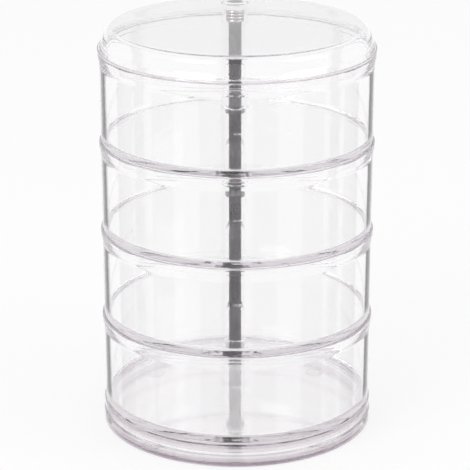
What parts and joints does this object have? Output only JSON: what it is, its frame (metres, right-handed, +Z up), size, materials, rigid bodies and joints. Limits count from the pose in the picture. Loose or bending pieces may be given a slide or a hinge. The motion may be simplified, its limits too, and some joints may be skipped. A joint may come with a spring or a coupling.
{
  "type": "rotating jewelry box",
  "caption": "Round clear keepsake tower of stacked open trays under a shallow cap lid, each turning out on one dark upright rod near the back.",
  "frame": {"origin": "middle of the face that the pads under the base stand on", "axes": "+Z up, the rod is at the back at +Y, the front of the tower faces -Y"},
  "size_m": [0.1652, 0.1652, 0.2492],
  "materials": {
    "clear_acrylic": "clear polished moulded acrylic with fine handling scratches",
    "clear_sleeve": "clear tube with a satin bore",
    "dark_rod": "dark nickel plating, drawn along its length",
    "plain_steel": "zinc plated",
    "insert_metal": "nickel plated, ribbed and threaded",
    "soft_pad": "soft translucent pad"
  },
  "bodies": {
    "stand": {"base_shell": "clear_acrylic", "base_cover": "clear_acrylic", "base_feet": "soft_pad", "pivot_rod": "dark_rod", "rod_screw": "plain_steel", "rod_washer": "plain_steel", "tray_ring_1": "dark_rod", "tray_ring_2": "dark_rod", "tray_ring_3": "dark_rod", "tray_ring_4": "dark_rod"},
    "top_tray": {"tray_1": "clear_acrylic", "pivot_sleeve_1": "clear_sleeve"},
    "upper_tray": {"tray_2": "clear_acrylic", "pivot_sleeve_2": "clear_sleeve"},
    "lower_tray": {"tray_3": "clear_acrylic", "pivot_sleeve_3": "clear_sleeve"},
    "bottom_tray": {"tray_4": "clear_acrylic", "pivot_sleeve_4": "clear_sleeve"},
    "cover_lid": {"lid": "clear_acrylic", "lid_insert": "insert_metal"}
  },
  "joints": [
    {"name": "cover_lid_swing", "type": "hinge", "parent": "stand", "child": "cover_lid", "pos_m": [0, 0.0595, 0.234], "axis": [0, 0, 1], "continuous": true},
    {"name": "top_tray_swing", "type": "hinge", "parent": "stand", "child": "top_tray", "pos_m": [0, 0.0595, 0.1794], "axis": [0, 0, 1], "continuous": true},
    {"name": "upper_tray_swing", "type": "hinge", "parent": "stand", "child": "upper_tray", "pos_m": [0, 0.0595, 0.1248], "axis": [0, 0, 1], "continuous": true},
    {"name": "lower_tray_swing", "type": "hinge", "parent": "stand", "child": "lower_tray", "pos_m": [0, 0.0595, 0.0702], "axis": [0, 0, 1], "continuous": true},
    {"name": "bottom_tray_swing", "type": "hinge", "parent": "stand", "child": "bottom_tray", "pos_m": [0, 0.0595, 0.0156], "axis": [0, 0, 1], "continuous": true}
  ]
}
